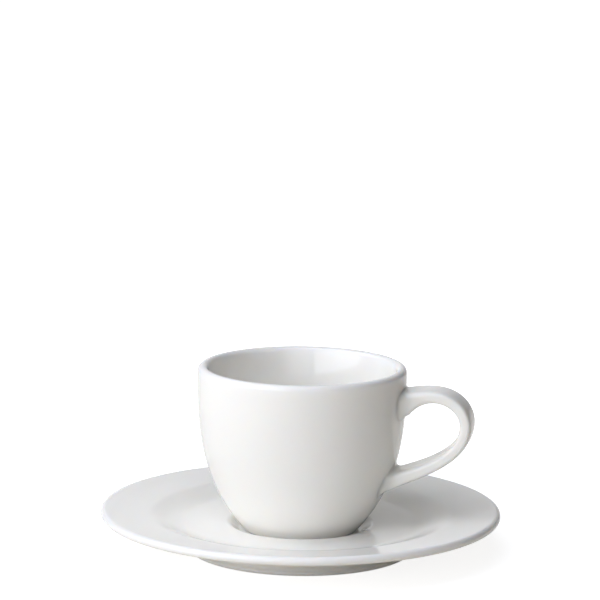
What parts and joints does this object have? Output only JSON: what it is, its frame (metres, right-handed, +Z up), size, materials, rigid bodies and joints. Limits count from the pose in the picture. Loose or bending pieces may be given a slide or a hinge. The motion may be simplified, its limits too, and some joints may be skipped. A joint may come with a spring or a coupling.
{
  "type": "espresso cup and saucer",
  "caption": "White glazed porcelain espresso cup with a looped strap handle, standing loose in the well of a broad-brimmed saucer.",
  "frame": {"origin": "on the table, under the middle of the saucer's foot ring", "axes": "+Z up, +X from the cup's axis out through the handle, +Y to the left seen from the handle's end"},
  "size_m": [0.125, 0.125, 0.0582],
  "materials": {
    "white_glaze": "gloss white glaze over porcelain, bare and matt under the foot rings"
  },
  "bodies": {
    "saucer": {"saucer": "white_glaze"},
    "cup": {"cup_bowl": "white_glaze", "cup_handle": "white_glaze", "upper_slip_joint": "white_glaze", "lower_slip_joint": "white_glaze"}
  },
  "joints": [
    {"name": "cup_lift", "type": "slide", "parent": "saucer", "child": "cup", "axis": [0, 0, 1], "range_m": [0, 0.08]}
  ]
}
